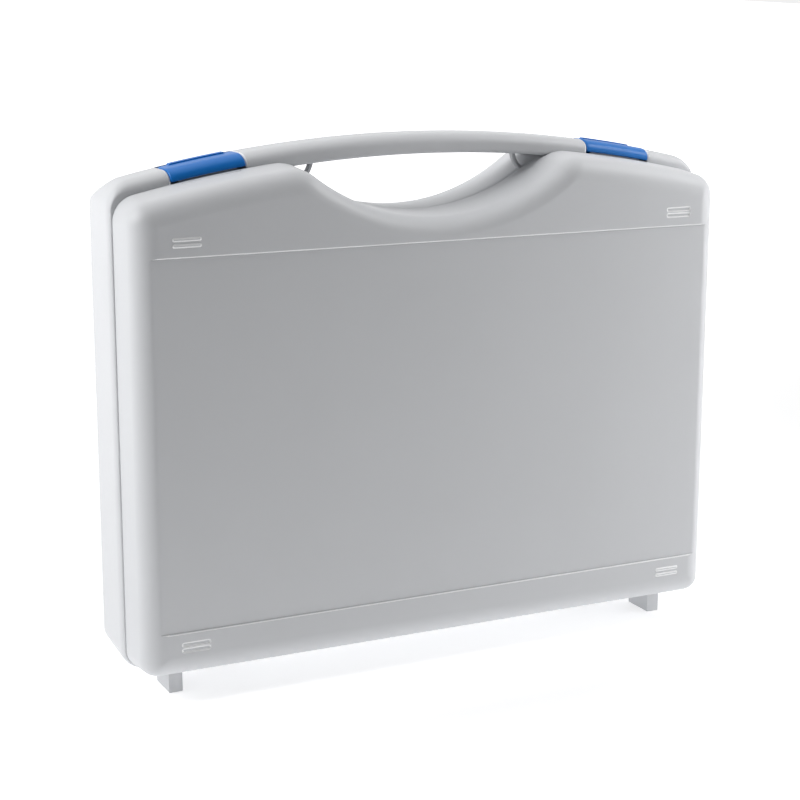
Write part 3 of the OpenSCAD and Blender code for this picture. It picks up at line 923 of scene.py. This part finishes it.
def stage_mat(name, col, rough=0.9):
    """Pale paper that glows a little, like a sweep lit from below; less so in front, and more just under the case,
    painted light that washes out the case's shadow there.
    """
    mat = bpy.data.materials.new(name)
    nt, b = nodes_of(mat)
    n = noise(nt, 3.0, 2.0)
    base = mix_col(nt, n.outputs["Fac"], tuple(c * 0.995 for c in col), col)
    g = nt.nodes.new("ShaderNodeNewGeometry")
    sep = nt.nodes.new("ShaderNodeSeparateXYZ")
    nt.links.new(g.outputs["Position"], sep.inputs[0])
    near = remap(nt, sep.outputs["Y"], -0.75, -0.45, 0.0, 1.0)
    nt.links.new(mix_col(nt, near, (0.42, 0.42, 0.425), base), b.inputs["Base Color"])
    b.inputs["Emission Color"].default_value = (1, 1, 1, 1)
    flat = nt.nodes.new("ShaderNodeVectorMath")
    flat.operation = "MULTIPLY"
    nt.links.new(g.outputs["Position"], flat.inputs[0])
    flat.inputs[1].default_value = (1 / 0.20, 1 / 0.075, 0.0)
    span = nt.nodes.new("ShaderNodeVectorMath")
    span.operation = "LENGTH"
    nt.links.new(flat.outputs["Vector"], span.inputs[0])
    # the second zone is a pool of painted light under the case that washes out its shadow
    zones = [(near, GLOW[0]), (remap(nt, span.outputs["Value"], 0.8, 1.5, 1.0, 0.0), GLOW[1]),
             (remap(nt, sep.outputs["Y"], 0.2, 0.8, 0.0, 1.0), GLOW[2]),
             (remap(nt, sep.outputs["Y"], 1.4, 2.5, 0.0, 1.0), GLOW[3])]
    total = None
    for zone, strength in zones:
        m = nt.nodes.new("ShaderNodeMath")
        m.operation = "MULTIPLY_ADD"
        nt.links.new(zone, m.inputs[0])
        m.inputs[1].default_value = strength
        m.inputs[2].default_value = 0.0
        if total:
            nt.links.new(total, m.inputs[2])
        total = m.outputs[0]
    nt.links.new(total, b.inputs["Emission Strength"])
    b.inputs["Roughness"].default_value = rough
    b.inputs["Specular IOR Level"].default_value = 0.0
    return mat


me = bpy.data.meshes.new("floor")
me.from_pydata([(-6, -5, 0), (6, -5, 0), (45, 70, 0), (-45, 70, 0)], [], [(0, 1, 2, 3)])
floor = bpy.data.objects.new("floor", me)
COL.objects.link(floor)
me.materials.append(stage_mat("floor_paper", (0.93, 0.93, 0.935)))


def area(name, loc, target, size, power, col=(1, 1, 1), shape="RECTANGLE", size_y=None):
    li = bpy.data.lights.new(name, "AREA")
    li.energy = power
    li.color = col
    li.shape = shape
    li.size = size
    li.size_y = size_y or size
    o = bpy.data.objects.new(name, li)
    COL.objects.link(o)
    o.location = loc
    o.rotation_euler = (Vector(target) - Vector(loc)).to_track_quat("-Z", "Y").to_euler()
    return o


area("left_softbox", (-1.15, 0.2, 0.85), (-0.1, 0.0, 0.17), 0.9, 10.1)
area("left_top", (-0.75, -0.03, 0.75), (-0.17, -0.02, 0.27), 0.3, 1.1)
area("right_strip", (0.62, -0.22, 0.25), (0.1, -0.04, 0.2), 0.25, 1.46, size_y=0.5)
area("right_card", (0.60, -0.45, 0.28), (0.12, -0.04, 0.18), 0.35, 0.66, size_y=0.5)
area("right_top", (0.45, -0.12, 0.62), (0.12, -0.03, 0.27), 0.25, 1.10)
area("overhead", (-0.1, 0.1, 1.3), (0.0, 0.0, 0.2), 0.9, 2.60)

w = bpy.data.worlds.new("studio")
SC.world = w
w.use_nodes = True
nt = w.node_tree
nt.nodes.clear()
wo = nt.nodes.new("ShaderNodeOutputWorld")
bg = nt.nodes.new("ShaderNodeBackground")
tc = nt.nodes.new("ShaderNodeTexCoord")


def lobe(direction, lo, hi, strength, ease="SMOOTHSTEP"):
    """Brightness of the room around one direction."""
    dot = nt.nodes.new("ShaderNodeVectorMath")
    dot.operation = "DOT_PRODUCT"
    nt.links.new(tc.outputs["Generated"], dot.inputs[0])
    dot.inputs[1].default_value = Vector(direction).normalized()
    mr = nt.nodes.new("ShaderNodeMapRange")
    mr.interpolation_type = ease
    nt.links.new(dot.outputs["Value"], mr.inputs["Value"])
    for k, v in (("From Min", lo), ("From Max", hi), ("To Min", 0.0), ("To Max", strength)):
        mr.inputs[k].default_value = v
    return mr.outputs[0]


def add(a, b):
    m = nt.nodes.new("ShaderNodeMath")
    nt.links.new(a, m.inputs[0])
    if isinstance(b, float):
        m.inputs[1].default_value = b
    else:
        nt.links.new(b, m.inputs[1])
    return m.outputs[0]


# bright walls at the back and the back right, the rest of the room dim
sky = add(lobe((0, 1, 0.2), 0.1, 0.9, 0.47), lobe((0.7, 0.8, 0.25), 0.1, 0.9, 0.44))
sky = add(add(sky, lobe((-1, 0.1, 0.25), 0.1, 0.9, 0.066)), lobe((0, 0, 1), 0.25, 1.0, 0.12))
sky = add(sky, lobe((0, -1, 0.1), 0.0, 0.8, 0.02))
nt.links.new(sky, bg.inputs["Color"])
bg.inputs["Strength"].default_value = 1.0
nt.links.new(bg.outputs[0], wo.inputs[0])

# ---------------------------------------------------------------- camera
F_PX, YAW, PITCH, ROLL = 1833.219, math.radians(25.85397), math.radians(12.74726), math.radians(0.094693)
d = Vector((math.sin(YAW) * math.cos(PITCH), math.cos(YAW) * math.cos(PITCH), -math.sin(PITCH)))
r = d.cross(Vector((0, 0, 1))).normalized()
u = r.cross(d)
r2 = r * math.cos(ROLL) + u * math.sin(ROLL)
u2 = u * math.cos(ROLL) - r * math.sin(ROLL)
cam = bpy.data.cameras.new("camera")
cam.sensor_width = 36.0
cam.sensor_fit = "HORIZONTAL"
cam.lens = F_PX / 800.0 * 36.0
cam.clip_start, cam.clip_end = 0.01, 60.0
co = bpy.data.objects.new("camera", cam)
COL.objects.link(co)
M = Matrix(((r2.x, u2.x, -d.x), (r2.y, u2.y, -d.y), (r2.z, u2.z, -d.z))).to_4x4()
M.translation = Vector((-404.76901 * 1.15, -781.8644 * 1.15 - 41.0, 298.59492 * 1.15 + 42.0)) * MM
co.matrix_world = M
SC.camera = co
SC.view_settings.view_transform = "Standard"
SC.view_settings.look = "None"
